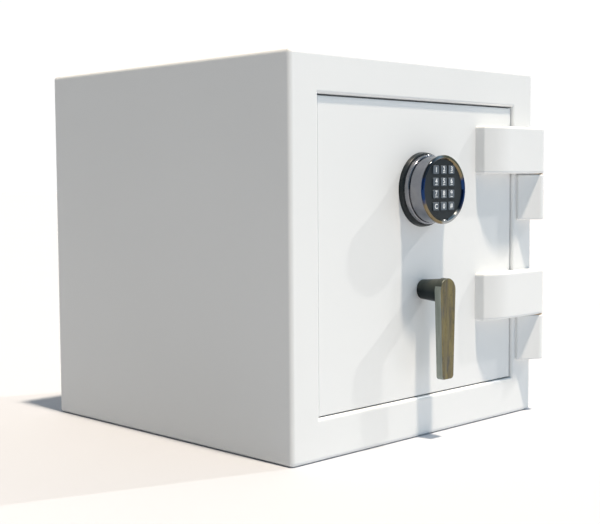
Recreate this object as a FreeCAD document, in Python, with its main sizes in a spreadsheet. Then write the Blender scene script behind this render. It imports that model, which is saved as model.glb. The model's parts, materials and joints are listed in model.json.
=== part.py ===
import FreeCAD, Part
import math
import os
import re
import Sketcher

# A free-standing plate-door safe. Millimetres. The origin is at the middle of the base, on the floor.
# X runs to the hinge side, Y runs from the door to the back wall, Z runs up.

SIZES = {
    # body
    "body_width": 508, "body_depth": 508, "body_height": 508,
    "shell_wall": 4, "edge_round": 5.5,
    "frame_bar": 16, "opening_half": 205, "opening_low": 54.5, "opening_high": 456, "lip_round": 4.5,
    "jamb_depth": 30, "jamb_half": 180, "jamb_low": 79.5, "jamb_high": 431,
    "liner_half": 197, "liner_low": 66, "liner_high": 444.5, "liner_wall": 2.5, "rear_fill": 59.5,
    "anchor_bore": 7, "anchor_wall": 5,
    # things inside the body
    "mat_thick": 3, "mat_half": 188, "mat_front": -195, "mat_rear": 185, "mat_hole": 14,
    "shelf_half": 194, "shelf_front": -148, "shelf_rear": 186, "shelf_top": 252, "shelf_sheet": 2,
    "shelf_lip": 16, "rail_leg": 12, "rail_sheet": 2, "rail_front": -140, "rail_rear": 180,
    # door
    "door_recess": 3.5, "door_gap": 1.6, "top_gap": 2, "door_thick": 11, "door_edge": 0.8,
    "seal_thick": 1.1, "seal_inner": 3, "seal_width": 14,
    "hard_half": 75, "hard_low": 160, "hard_high": 380, "hard_thick": 6,
    "pan_depth": 32, "pan_half": 175, "pan_low": 84.5, "pan_high": 426, "pan_sheet": 2,
    "wire_hole": 6, "wire_radius": 2.5,
    # hinges
    "pin_across": 249, "pin_standoff": 11.5, "pin_radius": 6, "running_fit": 0.05, "knuckle_radius": 11,
    "arm_left": 118, "arm_step": 198, "arm_end": 13, "arm_draft": 3.5, "crown_run": 46, "arm_round": 4,
    "arm_tall": 68, "arm_upper": 358, "arm_lower": 148, "arm_roof": 6,
    "block_left": 214, "block_step": 4, "block_tall": 67.2, "block_ease": 2.5, "block_floor": 10,
    "washer_thick": 0.8, "washer_radius": 10,
    # keypad
    "pad_up": 336.8, "pad_bore": 42,
    "ring_radius": 50.5, "ring_taper": 1, "ring_deep": 6.5, "ring_ease": 0.8,
    "collar_radius": 47, "collar_deep": 7,
    "groove_radius": 43.6, "groove_deep": 1.2, "housing_radius": 44.5, "housing_deep": 20.5,
    "bezel_radius": 46, "bezel_bore": 40.2, "bezel_deep": 3.2, "bezel_ease": 0.8,
    "face_radius": 40, "face_lip": 1.7, "face_sink": 2.4, "face_thick": 1.9, "face_step": 1.1,
    "key_pitch_across": 16.3, "key_pitch_up": 16.1, "key_rows_up": 26.3,
    "key_wide": 12.4, "key_tall": 11.2, "key_proud": 1.5, "key_flange": 0.9, "key_flange_thick": 1,
    "key_window": 0.3, "key_slack": 0.2, "key_corner": 1.8, "key_ease": 0.6,
    "board_gap": 1.6, "board_thick": 1.6, "board_radius": 41,
    "cell_half": 24.2, "cell_low": 33, "cell_tall": 26.5, "cell_deep": 17.5, "cell_gap": 4,
    # handle
    "turn_up": 201.5, "hub_radius": 13.3, "hub_flare": 3, "hub_gap": 0.4, "hub_deep": 34,
    "lever_thick": 9.7, "lever_half": 16.6, "lever_crown": 0.6, "lever_foot": 118.9, "lever_foot_half": 12.5,
    "lever_foot_round": 5.5, "lever_ease": 1.2,
    "spindle_radius": 8, "spindle_socket": 24, "bushing_wall": 3.5,
    "set_screw_radius": 3, "set_screw_out": 12, "set_screw_long": 5,
    "disc_radius": 26, "disc_gap": 3, "disc_thick": 7,
    "crank_reach": 13, "crank_radius": 5, "crank_long": 17.5,
    "clip_radius": 10, "clip_thick": 2,
    # bolts and carriage
    "bolt_radius": 12.5, "bolt_gap": 1.5, "bolt_left": -168, "bolt_nose": 3, "bolt_low": 150, "bolt_pitch": 105,
    "bar_left": -124, "bar_wide": 16, "bar_deep": 14, "bar_low": 122, "bar_high": 388,
    "screw_radius": 4, "screw_head": 6.5, "screw_head_thick": 4, "screw_deep": 18,
    "plate_thick": 5, "plate_right": 30, "plate_low": 198, "plate_high": 236,
    "slot_half": 5.95, "slot_low": 208, "slot_high": 227,
    "lug_left": 0, "lug_right": 14, "lug_high": 293,
    "guide_left": -162, "guide_wide": 10.5, "guide_half": 19, "guide_rear": 3,
    "dead_left": 150, "dead_right": 185, "dead_step": 172, "dead_setback": 6, "dead_deep": 18,
    "dead_low": 112, "dead_high": 398,
    # lock
    "lock_half": 31, "lock_low": 300, "lock_high": 384, "lock_deep": 28, "lock_wall": 2.5,
    "lock_lid": 2, "latch_left": 6, "latch_right": 20, "latch_low": 298, "latch_high": 326,
    "latch_front": 11, "latch_rear": 25, "latch_slack": 0.3, "latch_ease": 0.9,
    "lock_screw_inset": 6, "lock_screw_radius": 2, "lock_screw_head": 3.5, "lock_screw_head_thick": 2,
    # boltwork cover
    "cover_left": -164, "cover_right": 146, "cover_low": 96, "cover_high": 414, "cover_deep": 44.5,
    "cover_sheet": 1.5, "cover_ease": 2.4, "cover_clear": 0.8, "post_inset": 12, "post_radius": 5,
    "cover_screw_radius": 2.5, "cover_screw_head": 4.5, "cover_screw_head_thick": 2.2, "cover_screw_deep": 12,
}

# Planes and axes that several pieces share, as formulas on the sizes
FRONT = "(-body_depth / 2)"
BACK = "(body_depth / 2)"
SIDE = "(body_width / 2)"
FRAME_REAR = f"({FRONT} + frame_bar)"
JAMB_REAR = f"({FRAME_REAR} + jamb_depth)"
LINER_REAR = f"({BACK} - rear_fill)"
LINER_OUT = "(liner_half + liner_wall)"
DOOR_FACE = f"({FRONT} + door_recess)"
DOOR_HALF = "(opening_half - door_gap)"
PLATE_REAR = f"({DOOR_FACE} + door_thick)"
HARD_REAR = f"({PLATE_REAR} + hard_thick)"
PAN_REAR = f"({PLATE_REAR} + pan_depth)"
FILL_REAR = f"({PAN_REAR} - pan_sheet)"
PIN_Y = f"({FRONT} - pin_standoff)"
KNUCKLE_FRONT = f"({PIN_Y} - knuckle_radius)"
BLOCK_RUN = "(pin_across - block_left)"
BLOCK_RISE = "(pin_standoff - block_step)"
BLOCK_TILT = (f"(atan({BLOCK_RISE} / {BLOCK_RUN})"
              f" + asin(knuckle_radius / sqrt({BLOCK_RUN} ^ 2 + {BLOCK_RISE} ^ 2)))")
RING_FRONT = f"({DOOR_FACE} - ring_deep)"
COLLAR_FRONT = f"({RING_FRONT} - collar_deep)"
HOUSING_FRONT = f"({COLLAR_FRONT} - housing_deep)"
BEZEL_FRONT = f"({HOUSING_FRONT} - bezel_deep)"
FACE_FRONT = f"({BEZEL_FRONT} + face_sink)"
FACE_REAR = f"({FACE_FRONT} + face_thick)"
FLANGE_FRONT = f"({FACE_REAR} + key_slack)"
BOARD_FRONT = f"({FACE_REAR} + key_flange_thick + board_gap)"
BOARD_REAR = f"({BOARD_FRONT} + board_thick)"
LEVER_REAR = f"({DOOR_FACE} - hub_deep)"
HUB_REAR = f"({DOOR_FACE} - hub_gap)"
SOCKET_FRONT = f"({HUB_REAR} - spindle_socket)"
DISC_FRONT = f"({PAN_REAR} + disc_gap)"
DISC_REAR = f"({DISC_FRONT} + disc_thick)"
BOLT_Y = f"({JAMB_REAR} + bolt_gap + bolt_radius)"
BAR_FRONT = f"({BOLT_Y} - bar_deep / 2)"
BAR_REAR = f"({BOLT_Y} + bar_deep / 2)"
LOCK_REAR = f"({PAN_REAR} + lock_deep)"
COVER_REAR = f"({PAN_REAR} + cover_deep)"
BOLT_COUNT = 3
KEY_NAMES = (("key_1", "key_2", "key_3"), ("key_4", "key_5", "key_6"),
             ("key_7", "key_8", "key_9"), ("key_clear", "key_0", "key_hash"))

DOCUMENT = FreeCAD.newDocument("Safe")
SHEET = DOCUMENT.addObject("Spreadsheet::Sheet", "Sizes")
TURNS = {
    "x": FreeCAD.Rotation(FreeCAD.Vector(0, 1, 0), 90),
    "y": FreeCAD.Rotation(FreeCAD.Vector(1, 0, 0), -90),
    "z": FreeCAD.Rotation(),
}
# Turns that take a plate's own Y to the way that its outer face looks
SHEET_TURNS = {
    "x": FreeCAD.Rotation(FreeCAD.Vector(0, 0, 1), -90),
    "-x": FreeCAD.Rotation(FreeCAD.Vector(0, 0, 1), 90),
    "y": FreeCAD.Rotation(),
    "z": FreeCAD.Rotation(FreeCAD.Vector(1, 0, 0), 90),
    "-z": FreeCAD.Rotation(FreeCAD.Vector(1, 0, 0), -90),
}
NODES = {}
TINY = 0.01


# ---------------------------------------------------------------- the sheet and its formulas

def fill_sheet():
    """Put every size in the sheet as plain text, with its name as the cell's alias."""
    for row, (alias, size) in enumerate(SIZES.items(), 1):
        SHEET.set(f"A{row}", alias)
        SHEET.set(f"B{row}", str(size))
        SHEET.setAlias(f"B{row}", alias)
    DOCUMENT.recompute()


def spelled(formula):
    """Write the sheet's name before each size name in a formula."""
    return re.sub(r"[a-z_]+", lambda word: "Sizes." + word[0] if word[0] in SIZES else word[0], str(formula))


def number(formula):
    """Work a formula out now, for the places that can't hold an expression."""
    result = SHEET.evalExpression(spelled(formula))
    return float(getattr(result, "Value", result))


def bind(thing, setting, formula):
    thing.setExpression(setting, spelled(formula))


def node(thing, label):
    """Register a finished piece under the name that its file gets."""
    thing.Label = label
    NODES[label] = thing
    return thing


# ---------------------------------------------------------------- Part primitives

def block(name, across, deep, up):
    """A box between a low and a high limit along X, Y and Z."""
    box = DOCUMENT.addObject("Part::Box", name)
    for size, place, (low, high) in zip(("Length", "Width", "Height"), "xyz", (across, deep, up)):
        bind(box, size, f"({high}) - ({low})")
        bind(box, f"Placement.Base.{place}", low)
    return box


def rod(name, radius, axis, start, length):
    """A cylinder that runs along an axis from its start point."""
    cylinder = DOCUMENT.addObject("Part::Cylinder", name)
    cylinder.Placement = FreeCAD.Placement(FreeCAD.Vector(), TURNS[axis])
    bind(cylinder, "Radius", radius)
    bind(cylinder, "Height", length)
    for place, formula in zip("xyz", start):
        bind(cylinder, f"Placement.Base.{place}", formula)
    return cylinder


def fuse(name, *things):
    result = DOCUMENT.addObject("Part::MultiFuse", name)
    result.Shapes = list(things)
    return result


def cut(name, base, *tools):
    result = DOCUMENT.addObject("Part::Cut", name)
    result.Base = base
    result.Tool = tools[0] if len(tools) == 1 else fuse(name + "_tools", *tools)
    return result


def common(name, *things):
    """What several things share."""
    result = DOCUMENT.addObject("Part::MultiCommon", name)
    result.Shapes = list(things)
    return result


def group(name, *things):
    """Several separate solids of one kind, kept in one piece of the list."""
    result = DOCUMENT.addObject("Part::Compound", name)
    result.Links = list(things)
    return result


def rounded(name, base, radius, chosen):
    """Round the edges of a Part object that the test picks."""
    DOCUMENT.recompute()
    size = number(radius)
    result = DOCUMENT.addObject("Part::Fillet", name)
    result.Base = base
    result.Edges = [(index, size, size) for index, edge in enumerate(base.Shape.Edges, 1) if chosen(edge)]
    return result


# ---------------------------------------------------------------- PartDesign bodies

def arc_between(start, end, radius):
    """The short arc from start to end. It turns left when the radius is above zero, else right."""
    middle = (start + end) * 0.5
    half = (end - start) * 0.5
    rise = math.sqrt(max(radius * radius - half.Length ** 2, 0))
    left = FreeCAD.Vector(-half.y, half.x, 0).normalize()
    centre = middle + left * math.copysign(rise, radius)
    first, last = (start, end) if radius > 0 else (end, start)
    angles = [math.atan2(spot.y - centre.y, spot.x - centre.x) for spot in (first, last)]
    if angles[1] < angles[0]:
        angles[1] += 2 * math.pi
    circle = Part.Circle(centre, FreeCAD.Vector(0, 0, 1), abs(radius))
    return Part.ArcOfCircle(circle, angles[0], angles[1])


def pin_point(sketch, edge, point, across, up):
    """Hold one point of a sketch at a place worked out from the sheet."""
    for kind, formula in (("DistanceX", across), ("DistanceY", up)):
        held = sketch.addConstraint(Sketcher.Constraint(kind, -1, 1, edge, point, number(formula)))
        bind(sketch, f"Constraints[{held}]", formula)


def draw_circle(sketch, across, up, radius):
    circle = Part.Circle(FreeCAD.Vector(number(across), number(up), 0), FreeCAD.Vector(0, 0, 1), number(radius))
    edge = sketch.addGeometry(circle)
    held = sketch.addConstraint(Sketcher.Constraint("Radius", edge, number(radius)))
    bind(sketch, f"Constraints[{held}]", radius)
    pin_point(sketch, edge, 3, across, up)


def draw_outline(sketch, corners):
    """A closed outline. A corner (u, v, radius) starts an arc that ends at the next corner."""
    spots = [FreeCAD.Vector(number(corner[0]), number(corner[1]), 0) for corner in corners]
    ends = []
    for index, corner in enumerate(corners):
        start, end = spots[index], spots[(index + 1) % len(spots)]
        if len(corner) == 2:
            ends.append((sketch.addGeometry(Part.LineSegment(start, end)), 1, 2))
            continue
        radius = number(corner[2])
        edge = sketch.addGeometry(arc_between(start, end, radius))
        ends.append((edge, 1, 2) if radius > 0 else (edge, 2, 1))
        held = sketch.addConstraint(Sketcher.Constraint("Radius", edge, abs(radius)))
        bind(sketch, f"Constraints[{held}]", f"abs({corner[2]})")
    for index, (edge, first, _) in enumerate(ends):
        before, _, last = ends[index - 1]
        sketch.addConstraint(Sketcher.Constraint("Coincident", before, last, edge, first))
        pin_point(sketch, edge, first, corners[index][0], corners[index][1])


def rectangle(across, up):
    """The four corners between a low and a high limit each way."""
    return [(across[0], up[0]), (across[1], up[0]), (across[1], up[1]), (across[0], up[1])]


def new_body(name):
    return DOCUMENT.addObject("PartDesign::Body", name)


def new_sketch(body, plane, offset, outlines, circles=()):
    """A sketch on one of the body's own planes, moved by an offset (right, up, out of the plane)."""
    sketch = body.newObject("Sketcher::SketchObject", body.Name + "_sketch")
    face = [origin for origin in body.Origin.OriginFeatures if origin.Role == plane][0]
    sketch.AttachmentSupport = [(face, "")]
    sketch.MapMode = "FlatFace"
    for place, formula in zip("xyz", offset):
        bind(sketch, f"AttachmentOffset.Base.{place}", formula)
    for corners in outlines:
        draw_outline(sketch, corners)
    for circle in circles:
        draw_circle(sketch, *circle)
    return sketch


def add_feature(body, kind, name, sketch):
    feature = body.newObject("PartDesign::" + kind, body.Name + "_" + name)
    feature.Profile = sketch
    body.Tip = feature
    return feature


def pad_up(body, low, high, outlines, circles=()):
    """Pad a plan outline (X, Y) between two heights."""
    sketch = new_sketch(body, "XY_Plane", ("0", "0", low), outlines, circles)
    feature = add_feature(body, "Pad", "pad", sketch)
    bind(feature, "Length", f"({high}) - ({low})")
    return feature


def pad_deep(body, front, rear, outlines, circles=()):
    """Pad a front-view outline (X, Z) between two depths."""
    sketch = new_sketch(body, "XZ_Plane", ("0", "0", f"-({rear})"), outlines, circles)
    feature = add_feature(body, "Pad", "pad", sketch)
    bind(feature, "Length", f"({rear}) - ({front})")
    return feature


def bore_up(body, low, high, across, deep, radius):
    """Cut a round hole upwards from a height, and make sure that it took something away."""
    DOCUMENT.recompute()
    before = body.Shape.Volume
    sketch = new_sketch(body, "XY_Plane", ("0", "0", low), (), ((across, deep, radius),))
    feature = add_feature(body, "Pocket", "bore", sketch)
    feature.Reversed = True
    bind(feature, "Length", f"({high}) - ({low})")
    DOCUMENT.recompute()
    if body.Shape.Volume > before - TINY:
        raise RuntimeError(body.Name + ": the bore cut nothing")


def turned(name, across, up, profile):
    """A piece turned about an axis along Y, from a profile of (y, radius)."""
    body = new_body(name)
    sketch = new_sketch(body, "YZ_Plane", ("0", up, across), (profile,))
    feature = add_feature(body, "Revolution", "turn", sketch)
    feature.ReferenceAxis = (sketch, ["H_Axis"])
    feature.Angle = 360
    return body


def ease(body, kind, size, chosen):
    """Fillet or chamfer the edges of a body that the test picks."""
    DOCUMENT.recompute()
    base = body.Tip
    names = [f"Edge{index}" for index, edge in enumerate(base.Shape.Edges, 1) if chosen(edge)]
    feature = body.newObject("PartDesign::" + kind, body.Name + "_" + kind.lower())
    feature.Base = (base, names)
    bind(feature, {"Fillet": "Radius", "Chamfer": "Size"}[kind], size)
    body.Tip = feature


def lies_at(edge, axis, place):
    """Whether a whole edge lies at one place along an axis, given as x, y or z."""
    box = edge.BoundBox
    low, high = {"x": (box.XMin, box.XMax), "y": (box.YMin, box.YMax), "z": (box.ZMin, box.ZMax)}[axis]
    return abs(low - place) < TINY and abs(high - place) < TINY


# ---------------------------------------------------------------- the body of the safe

def mitred_plate(name, turn, inner, outer, near, far):
    """A plate whose edges slope at the mitres. Inner and outer are its two faces, each with limits along the
    plate's own X and Z, and near and far are where they lie along its own Y."""
    plate = DOCUMENT.addObject("Part::Wedge", name)
    plate.Placement = FreeCAD.Placement(FreeCAD.Vector(), turn)
    for mark, (across, up), deep in (("", inner, near), ("2", outer, far)):
        for axis, (low, high) in (("X", across), ("Z", up)):
            bind(plate, f"{axis}{mark}min", low)
            bind(plate, f"{axis}{mark}max", high)
        bind(plate, "Ymax" if mark else "Ymin", deep)
    return plate


def make_outer_shell():
    """Five welded plates, mitred where they meet and open to the front frame, with a hole for the anchor."""
    inner_side, inner_back = f"({SIDE} - shell_wall)", f"({BACK} - shell_wall)"
    deep = ((FRAME_REAR, inner_back), (FRAME_REAR, BACK))
    turned_deep = ((f"-{inner_back}", f"-{FRAME_REAR}"), (f"-{BACK}", f"-{FRAME_REAR}"))
    across = ((f"-{inner_side}", inner_side), (f"-{SIDE}", SIDE))
    up = (("shell_wall", "body_height - shell_wall"), ("0", "body_height"))
    plates = {
        "top": (SHEET_TURNS["z"], across, turned_deep, "body_height - shell_wall", "body_height"),
        "base": (SHEET_TURNS["-z"], across, deep, "-shell_wall", "0"),
        "right": (SHEET_TURNS["x"], turned_deep, up, inner_side, SIDE),
        "left": (SHEET_TURNS["-x"], deep, up, inner_side, SIDE),
        "back": (SHEET_TURNS["y"], across, up, inner_back, BACK),
    }
    hole = rod("shell_hole", "anchor_bore + anchor_wall", "z", ("0", "0", "0"), "shell_wall")
    skin = block("shell_skin", (f"-{SIDE}", SIDE), (FRAME_REAR, BACK), ("0", "body_height"))
    seam = number(FRAME_REAR)
    soft = rounded("shell_soft", skin, "edge_round", lambda edge: not lies_at(edge, "y", seam))
    bored = cut("shell_bored", soft, hole)
    made = []
    for name, (turn, first, second, near, far) in plates.items():
        inner, outer = zip(first, second)
        plate = mitred_plate(f"shell_wedge_{name}", turn, inner, outer, near, far)
        made.append(common(f"shell_{name}", bored, plate))
    node(group("outer_shell", *made), "outer_shell")


def make_front_frame():
    """Thick bar frame round the door, with a soft lip."""
    slab = block("frame_slab", (f"-{SIDE}", SIDE), (FRONT, FRAME_REAR), ("0", "body_height"))
    seam = number(FRAME_REAR)
    soft = rounded("frame_soft", slab, "edge_round", lambda edge: not lies_at(edge, "y", seam))
    way = block("frame_way", ("-opening_half", "opening_half"), (FRONT, FRAME_REAR),
                ("opening_low", "opening_high"))
    ring = cut("frame_ring", soft, way)
    front, reach = number(FRONT), number("opening_half + 1")

    def on_lip(edge):
        return lies_at(edge, "y", front) and edge.BoundBox.XMax < reach and edge.BoundBox.XMin > -reach
    node(rounded("front_frame", ring, "lip_round", on_lip), "front_frame")


def make_jamb_ring():
    """The bar that the bolts catch behind."""
    bar = block("jamb_bar", (f"-{LINER_OUT}", LINER_OUT), (FRAME_REAR, JAMB_REAR),
                ("liner_low - liner_wall", "liner_high + liner_wall"))
    way = block("jamb_way", ("-jamb_half", "jamb_half"), (FRAME_REAR, JAMB_REAR), ("jamb_low", "jamb_high"))
    node(cut("jamb_ring", bar, way), "jamb_ring")


def make_inner_liner():
    """Five sheets: the floor and the roof run over the others, and the floor has the anchor's hole."""
    full, rear = (f"-{LINER_OUT}", LINER_OUT), f"{LINER_REAR} + liner_wall"
    floor_up = ("liner_low - liner_wall", "liner_low")
    wall_up = ("liner_low", "liner_high")
    floor = block("liner_floor", full, (JAMB_REAR, rear), floor_up)
    hole = rod("liner_hole", "anchor_bore + anchor_wall", "z", ("0", "0", floor_up[0]), "liner_wall")
    sheets = [
        cut("liner_bored_floor", floor, hole),
        block("liner_roof", full, (JAMB_REAR, rear), ("liner_high", "liner_high + liner_wall")),
        block("liner_left", (f"-{LINER_OUT}", "-liner_half"), (JAMB_REAR, LINER_REAR), wall_up),
        block("liner_right", ("liner_half", LINER_OUT), (JAMB_REAR, LINER_REAR), wall_up),
        block("liner_back", full, (LINER_REAR, rear), wall_up),
    ]
    node(group("inner_liner", *sheets), "inner_liner")


def make_body_fill():
    """Concrete between the shell and the liner."""
    cast = block("fill_cast", (f"shell_wall - {SIDE}", f"{SIDE} - shell_wall"),
                 (FRAME_REAR, f"{BACK} - shell_wall"), ("shell_wall", "body_height - shell_wall"))
    core = block("fill_core", (f"-{LINER_OUT}", LINER_OUT), (FRAME_REAR, f"{LINER_REAR} + liner_wall"),
                 ("liner_low - liner_wall", "liner_high + liner_wall"))
    hole = rod("fill_hole", "anchor_bore + anchor_wall", "z", ("0", "0", "0"), "liner_low")
    node(cut("body_fill", cast, core, hole), "body_fill")


def make_anchor_sleeve():
    """Steel tube through the floor, for a floor anchor bolt."""
    body = new_body("anchor_sleeve")
    pad_up(body, "0", "liner_low", (), (("0", "0", "anchor_bore + anchor_wall"), ("0", "0", "anchor_bore")))
    node(body, "anchor_sleeve")


def make_floor_mat():
    body = new_body("floor_mat")
    pad_up(body, "liner_low", "liner_low + mat_thick",
           (rectangle(("-mat_half", "mat_half"), ("mat_front", "mat_rear")),), (("0", "0", "mat_hole"),))
    node(body, "floor_mat")


def make_shelf():
    """Sheet shelf, folded down along its front."""
    body = new_body("shelf")
    under = "shelf_top - shelf_sheet"
    profile = [("shelf_front", "shelf_top - shelf_lip"), ("shelf_front + shelf_sheet", "shelf_top - shelf_lip"),
               ("shelf_front + shelf_sheet", under), ("shelf_rear", under), ("shelf_rear", "shelf_top"),
               ("shelf_front", "shelf_top")]
    sketch = new_sketch(body, "YZ_Plane", ("0", "0", "-shelf_half"), (profile,))
    bind(add_feature(body, "Pad", "pad", sketch), "Length", "2 * shelf_half")
    node(body, "shelf")


def make_shelf_rails():
    """An angle on each side wall, under the shelf."""
    rails = []
    top = "shelf_top - shelf_sheet"
    for name, sign in (("left", -1), ("right", 1)):
        body = new_body(f"shelf_rail_{name}")
        wall, inside = f"{sign} * liner_half", f"{sign} * (liner_half - rail_leg)"
        web = f"{sign} * (liner_half - rail_sheet)"
        profile = [(wall, f"{top} - rail_leg"), (wall, top), (inside, top), (inside, f"{top} - rail_sheet"),
                   (web, f"{top} - rail_sheet"), (web, f"{top} - rail_leg")]
        pad_deep(body, "rail_front", "rail_rear", (profile,))
        rails.append(body)
    node(group("shelf_rails", *rails), "shelf_rails")


# ---------------------------------------------------------------- hinges

def make_hinge_arm(label, low):
    """Thick strap with a crowned left end and a round knuckle over the pin."""
    body = new_body(label)
    rise = f"({DOOR_FACE} - arm_end - {KNUCKLE_FRONT})"
    crown = f"(crown_run ^ 2 + {rise} ^ 2) / (2 * {rise})"
    back = f"{PIN_Y} + knuckle_radius"
    plan = [("arm_left", DOOR_FACE), ("arm_left + arm_draft", f"{DOOR_FACE} - arm_end", crown),
            ("arm_left + arm_draft + crown_run", KNUCKLE_FRONT), ("pin_across", KNUCKLE_FRONT, "knuckle_radius"),
            ("pin_across + knuckle_radius", PIN_Y, "knuckle_radius"), ("pin_across", back),
            ("arm_step", back), ("arm_step", DOOR_FACE)]
    high = f"{low} + arm_tall"
    pad_up(body, low, high, (plan,))
    bottom, top, rear = number(low), number(high), number(f"{DOOR_FACE} - arm_end / 2")

    def outer_rim(edge):
        level = lies_at(edge, "z", bottom) or lies_at(edge, "z", top)
        return level and edge.BoundBox.YMin < rear - 1 and edge.BoundBox.YMax < number(back) - 1

    def end_corner(edge):
        return lies_at(edge, "x", number("arm_left + arm_draft")) and edge.BoundBox.YMax < rear
    ease(body, "Fillet", "arm_round", end_corner)
    ease(body, "Fillet", "arm_round", outer_rim)
    bore_up(body, low, f"{high} - arm_roof", "pin_across", PIN_Y, "pin_radius + running_fit")
    node(body, label)


def make_hinge_block(label, arm_low):
    """Fixed block under an arm: a slope rises to its knuckle, and a blind bore in it holds the pin."""
    body = new_body(label)
    high = f"{arm_low} - washer_thick"
    low = f"{high} - block_tall"
    plan = [("block_left", FRONT), ("block_left", f"{FRONT} - block_step"),
            (f"pin_across - knuckle_radius * sin({BLOCK_TILT})",
             f"{PIN_Y} - knuckle_radius * cos({BLOCK_TILT})", "knuckle_radius"),
            ("pin_across + knuckle_radius", PIN_Y), ("pin_across + knuckle_radius", FRONT)]
    pad_up(body, low, high, (plan,))
    rims = (number(low), number(high))
    front = number(FRONT)

    def outer_rim(edge):
        return any(lies_at(edge, "z", rim) for rim in rims) and not lies_at(edge, "y", front)
    ease(body, "Fillet", "block_ease", outer_rim)
    bore_up(body, f"{low} + block_floor", high, "pin_across", PIN_Y, "pin_radius")
    node(body, label)


def make_hinge_pins():
    """Both pins: pressed into the blocks, running in the arms."""
    pins = []
    for name in ("upper", "lower"):
        foot = f"arm_{name} - washer_thick - block_tall + block_floor"
        length = "washer_thick + block_tall - block_floor + arm_tall - arm_roof - washer_thick"
        pins.append(rod(f"hinge_pin_{name}", "pin_radius", "z", ("pin_across", PIN_Y, foot), length))
    node(group("hinge_pins", *pins), "hinge_pins")


def make_hinge_washers():
    rings = []
    for name in ("upper", "lower"):
        body = new_body(f"hinge_washer_{name}")
        pad_up(body, f"arm_{name} - washer_thick", f"arm_{name}", (),
               (("pin_across", PIN_Y, "washer_radius"), ("pin_across", PIN_Y, "pin_radius")))
        rings.append(body)
    node(group("hinge_washers", *rings), "hinge_washers")


# ---------------------------------------------------------------- door leaf

def make_door_plate():
    body = new_body("door_plate")
    outline = rectangle((f"-{DOOR_HALF}", DOOR_HALF), ("opening_low + door_gap", "opening_high - top_gap"))
    pad_deep(body, DOOR_FACE, PLATE_REAR, (outline,),
             (("0", "turn_up", "spindle_radius + bushing_wall"), ("0", "pad_up", "wire_hole")))
    face, reach = number(DOOR_FACE), number(DOOR_HALF)

    def rim(edge):
        return lies_at(edge, "y", face) and edge.BoundBox.DiagonalLength > reach
    ease(body, "Chamfer", "door_edge", rim)
    node(body, "door_plate")


def make_door_seal():
    """Flat strip that swells in a fire, glued to the rear of the plate round the plug."""
    body = new_body("door_seal")
    inner, outer = "(pan_half + seal_inner)", "(pan_half + seal_inner + seal_width)"
    outlines = (rectangle((f"-{outer}", outer), ("pan_low - seal_inner - seal_width",
                                                 "pan_high + seal_inner + seal_width")),
                rectangle((f"-{inner}", inner), ("pan_low - seal_inner", "pan_high + seal_inner")))
    pad_deep(body, PLATE_REAR, f"{PLATE_REAR} + seal_thick", outlines)
    node(body, "door_seal")


def make_hard_plate():
    """Hardened plate that guards the lock and the spindle against drilling."""
    body = new_body("hard_plate")
    pad_deep(body, PLATE_REAR, HARD_REAR, (rectangle(("-hard_half", "hard_half"), ("hard_low", "hard_high")),),
             (("0", "turn_up", "spindle_radius + bushing_wall"), ("0", "pad_up", "wire_hole")))
    node(body, "hard_plate")


def make_door_fill():
    cast = block("door_cast", ("pan_sheet - pan_half", "pan_half - pan_sheet"), (PLATE_REAR, FILL_REAR),
                 ("pan_low + pan_sheet", "pan_high - pan_sheet"))
    seat = block("door_seat", ("-hard_half", "hard_half"), (PLATE_REAR, HARD_REAR), ("hard_low", "hard_high"))
    shaft = rod("door_shaft_way", "spindle_radius + bushing_wall", "y", ("0", PLATE_REAR, "turn_up"),
                "pan_depth")
    wire = rod("door_wire_way", "wire_hole", "y", ("0", PLATE_REAR, "pad_up"), "pan_depth")
    node(cut("door_fill", cast, seat, shaft, wire), "door_fill")


def make_door_pan():
    """Sheet tray that holds the fill and makes the plug of the door."""
    tray = block("pan_tray", ("-pan_half", "pan_half"), (PLATE_REAR, PAN_REAR), ("pan_low", "pan_high"))
    room = block("pan_room", ("pan_sheet - pan_half", "pan_half - pan_sheet"), (PLATE_REAR, FILL_REAR),
                 ("pan_low + pan_sheet", "pan_high - pan_sheet"))
    shaft = rod("pan_shaft_way", "spindle_radius + running_fit * 10", "y", ("0", FILL_REAR, "turn_up"),
                "pan_sheet")
    wire = rod("pan_wire_way", "wire_hole", "y", ("0", FILL_REAR, "pad_up"), "pan_sheet")
    node(cut("door_pan", tray, room, shaft, wire), "door_pan")


# ---------------------------------------------------------------- keypad

def make_keypad_base():
    far = f"{RING_FRONT} + ring_ease"
    profile = [(DOOR_FACE, "pad_bore"), (RING_FRONT, "pad_bore"),
               (RING_FRONT, "ring_radius - ring_taper - ring_ease"), (far, "ring_radius - ring_taper"),
               (DOOR_FACE, "ring_radius")]
    node(turned("keypad_base", "0", "pad_up", profile), "keypad_base")


def make_keypad_collar():
    profile = [(RING_FRONT, "pad_bore"), (COLLAR_FRONT, "pad_bore"), (COLLAR_FRONT, "collar_radius - ring_ease"),
               (f"{COLLAR_FRONT} + ring_ease", "collar_radius"), (RING_FRONT, "collar_radius")]
    node(turned("keypad_collar", "0", "pad_up", profile), "keypad_collar")


def make_keypad_housing():
    shoulder = f"{COLLAR_FRONT} - groove_deep"
    profile = [(COLLAR_FRONT, "pad_bore"), (HOUSING_FRONT, "pad_bore"), (HOUSING_FRONT, "housing_radius"),
               (shoulder, "housing_radius"), (shoulder, "groove_radius"), (COLLAR_FRONT, "groove_radius")]
    node(turned("keypad_housing", "0", "pad_up", profile), "keypad_housing")


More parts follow.
